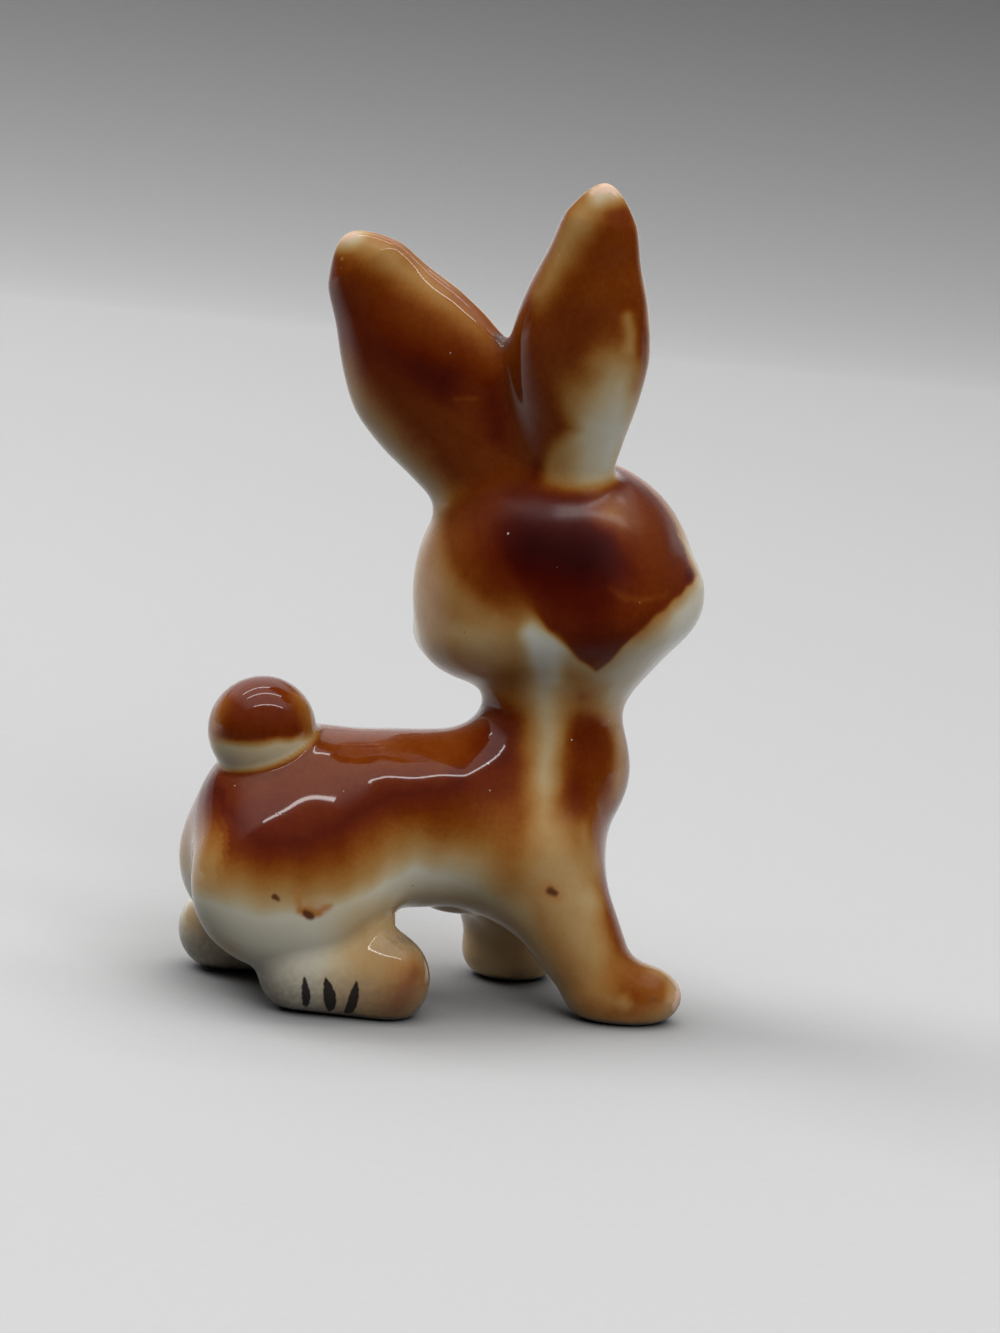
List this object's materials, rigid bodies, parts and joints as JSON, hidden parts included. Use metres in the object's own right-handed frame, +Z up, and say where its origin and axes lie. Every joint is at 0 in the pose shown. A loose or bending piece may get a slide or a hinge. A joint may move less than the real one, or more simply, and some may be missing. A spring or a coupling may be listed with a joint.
{
  "type": "ceramic rabbit figurine",
  "caption": "Small glazed ceramic rabbit ornament that stands on four feet with its head turned back and its long ears upright.",
  "frame": {"origin": "on the ground under the middle of the figure's bounding box", "axes": "+X ahead along the body, +Y to the rabbit's left, +Z up"},
  "size_m": [0.0477, 0.0264, 0.0784],
  "materials": {
    "cream_glaze": "clear gloss glaze over cream clay, sprayed with brown",
    "brown_glaze": "clear gloss glaze over sprayed chestnut brown"
  },
  "bodies": {
    "root": {"torso": "cream_glaze", "breast_and_neck": "cream_glaze", "head": "brown_glaze", "right_ear": "brown_glaze", "left_ear": "brown_glaze", "tail": "brown_glaze", "right_haunch": "cream_glaze", "left_haunch": "cream_glaze", "right_hind_foot": "cream_glaze", "left_hind_foot": "cream_glaze", "right_front_leg": "cream_glaze", "left_front_leg": "cream_glaze"}
  },
  "joints": []
}
